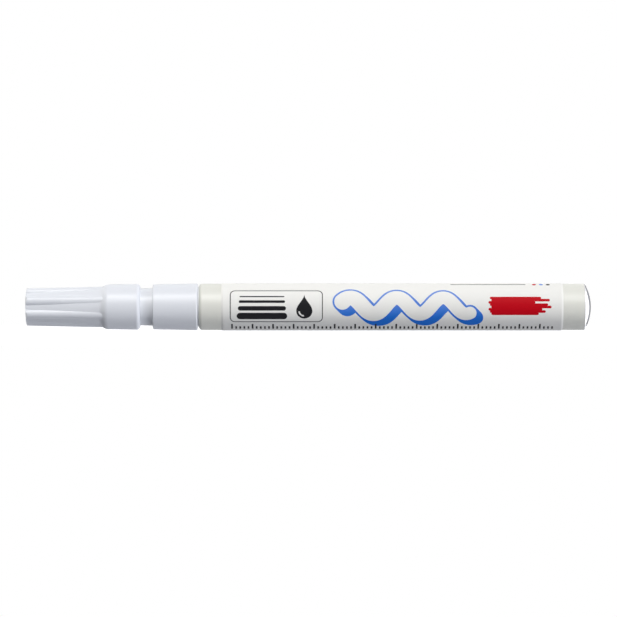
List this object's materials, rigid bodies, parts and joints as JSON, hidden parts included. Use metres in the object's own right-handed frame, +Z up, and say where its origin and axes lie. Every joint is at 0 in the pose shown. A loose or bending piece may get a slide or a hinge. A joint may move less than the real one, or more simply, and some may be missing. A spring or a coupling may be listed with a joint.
{
  "type": "paint marker",
  "caption": "Slim paint marker with a ribbed push-on cap, enamelled barrel, printed sleeve and a spring-loaded valve behind its fibre nib.",
  "frame": {"origin": "under the middle of the marker, on the surface that it lies on", "axes": "+X along the marker from its cap to its tail, +Z up, the label's front faces -Y"},
  "size_m": [0.138, 0.0116, 0.0115],
  "materials": {
    "white_polypropylene": "satin",
    "natural_polyethylene": "satin",
    "natural_acetal": "satin",
    "enamelled_aluminium": "gloss",
    "printed_film": "gloss",
    "bonded_fibre": "matte",
    "sealing_rubber": "matte",
    "spring_steel": "satin",
    "polished_steel": "polished"
  },
  "bodies": {
    "barrel": {"barrel_tube": "enamelled_aluminium", "label_sleeve": "printed_film", "tail_plug": "white_polypropylene", "front_section": "white_polypropylene", "barrel_seal_ring": "sealing_rubber", "nib_holder": "natural_acetal", "valve_body": "natural_polyethylene", "valve_seat": "sealing_rubber", "spring_retainer": "natural_acetal", "valve_spring": "spring_steel"},
    "cap": {"cap_shell": "white_polypropylene", "cap_liner": "natural_polyethylene"},
    "nib_and_stem": {"nib": "bonded_fibre", "valve_stem": "natural_acetal"},
    "ball": {"mixing_ball": "polished_steel"}
  },
  "joints": [
    {"name": "cap_pull", "type": "slide", "parent": "barrel", "child": "cap", "axis": [-1, 0, 0], "range_m": [0, 0.035]},
    {"name": "nib_press", "type": "slide", "parent": "barrel", "child": "nib_and_stem", "axis": [1, 0, 0], "range_m": [0, 0.0015], "stiffness_N_per_m": 750, "springref_m": -0.002, "deforming": ["valve_spring"]},
    {"name": "ball_roll", "type": "slide", "parent": "barrel", "child": "ball", "axis": [1, 0, 0], "range_m": [-0.0254, 0.0494]}
  ]
}
